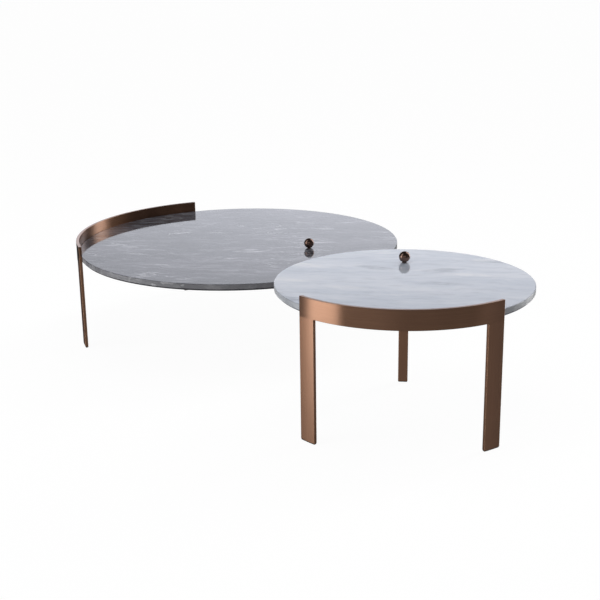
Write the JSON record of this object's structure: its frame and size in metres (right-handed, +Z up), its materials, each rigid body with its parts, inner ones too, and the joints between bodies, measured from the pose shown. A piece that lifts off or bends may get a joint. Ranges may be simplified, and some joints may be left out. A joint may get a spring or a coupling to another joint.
{
  "type": "nesting tables",
  "caption": "Round marble nesting tables on brushed bronze strip bands with strip legs and a rear flat-bar leg under a ball finial; the small top slides over the large one.",
  "frame": {"origin": "on the floor, under the middle of the pair's bounding box as it stands in the pictured pose", "axes": "+Z up; +Y away from a viewer who has the small table in front and to the right of the large one; +X to that viewer's right"},
  "size_m": [1.1432, 1.4056, 0.3422],
  "materials": {
    "marble_large": "polished grey marble with pale veins",
    "marble_small": "polished pale blue-grey marble with soft veins",
    "bronze_strip": "brushed and lacquered copper-bronze",
    "ball_brass": "polished bronze",
    "plated_steel": "satin dark bronze lacquer on steel",
    "zinc_fastener": "bright zinc plate",
    "insert_brass": "turned brass",
    "pad_rubber": "matt black rubber",
    "glide_nylon": "matt black nylon"
  },
  "bodies": {
    "large_table": {"large_marble_top": "marble_large", "large_band": "bronze_strip", "large_left_leg": "bronze_strip", "large_right_leg": "bronze_strip", "large_left_lug": "plated_steel", "large_middle_lug": "plated_steel", "large_right_lug": "plated_steel", "large_left_lug_pad": "pad_rubber", "large_middle_lug_pad": "pad_rubber", "large_right_lug_pad": "pad_rubber", "large_lug_screws": "zinc_fastener", "large_lug_inserts": "insert_brass", "large_rear_leg": "bronze_strip", "large_rear_head_plate": "plated_steel", "large_rear_gasket": "pad_rubber", "large_rear_screws": "zinc_fastener", "large_rear_inserts": "insert_brass", "large_finial_stud": "zinc_fastener", "large_finial_washer": "ball_brass", "large_ball_finial": "ball_brass", "large_left_glide": "glide_nylon", "large_right_glide": "glide_nylon", "large_rear_glide": "glide_nylon"},
    "small_table": {"small_marble_top": "marble_small", "small_band": "bronze_strip", "small_left_leg": "bronze_strip", "small_right_leg": "bronze_strip", "small_left_lug": "plated_steel", "small_middle_lug": "plated_steel", "small_right_lug": "plated_steel", "small_left_lug_pad": "pad_rubber", "small_middle_lug_pad": "pad_rubber", "small_right_lug_pad": "pad_rubber", "small_lug_screws": "zinc_fastener", "small_lug_inserts": "insert_brass", "small_rear_leg": "bronze_strip", "small_rear_head_plate": "plated_steel", "small_rear_gasket": "pad_rubber", "small_rear_screws": "zinc_fastener", "small_rear_inserts": "insert_brass", "small_finial_stud": "zinc_fastener", "small_finial_washer": "ball_brass", "small_ball_finial": "ball_brass", "small_left_glide": "glide_nylon", "small_right_glide": "glide_nylon", "small_rear_glide": "glide_nylon"}
  },
  "joints": [
    {"name": "nest_slide", "type": "slide", "parent": "large_table", "child": "small_table", "axis": [-0.509, 0.8607, 0], "range_m": [-0.3, 0.155]}
  ]
}
